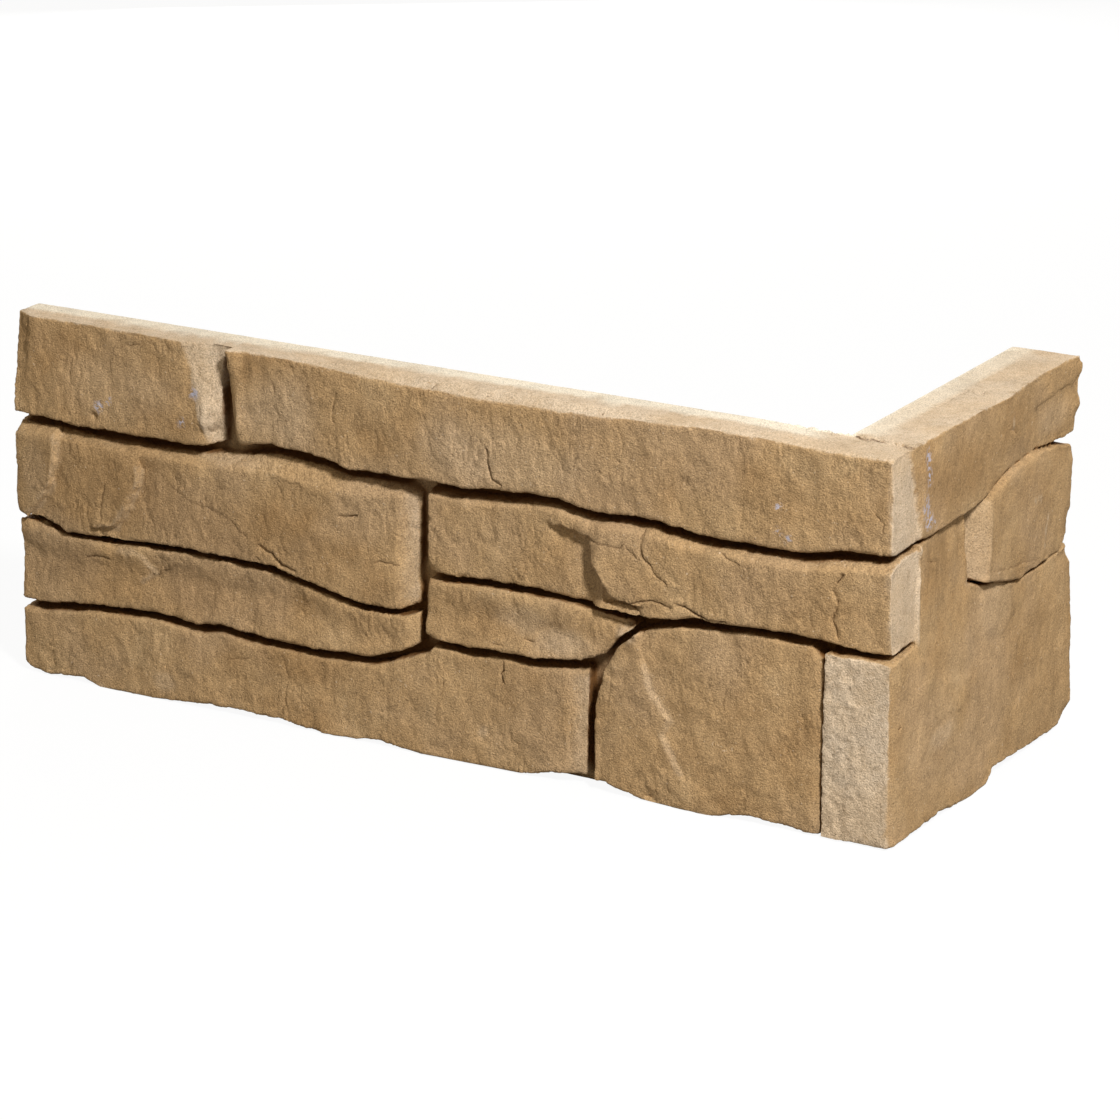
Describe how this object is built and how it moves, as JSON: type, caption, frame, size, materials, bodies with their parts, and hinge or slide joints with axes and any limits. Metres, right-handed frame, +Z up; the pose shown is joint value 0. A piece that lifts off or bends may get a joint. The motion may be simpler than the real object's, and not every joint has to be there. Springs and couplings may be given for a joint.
{
  "type": "cladding corner",
  "caption": "L-shaped cast concrete corner with a split-stone face in interlocked courses, bedded on the outer corner of a wall to carry stone cladding round it.",
  "frame": {"origin": "the wall's own outer corner, where the two wall faces meet, at the foot of the casting", "axes": "+Z up; the long leg runs along -X and its stones face -Y; the short leg runs along +Y and its stones face +X"},
  "size_m": [0.3925, 0.163, 0.15],
  "materials": {
    "cast_concrete": "matt sand-coloured cast concrete with a split-stone face"
  },
  "bodies": {
    "root": {"cladding_corner": "cast_concrete"}
  },
  "joints": []
}
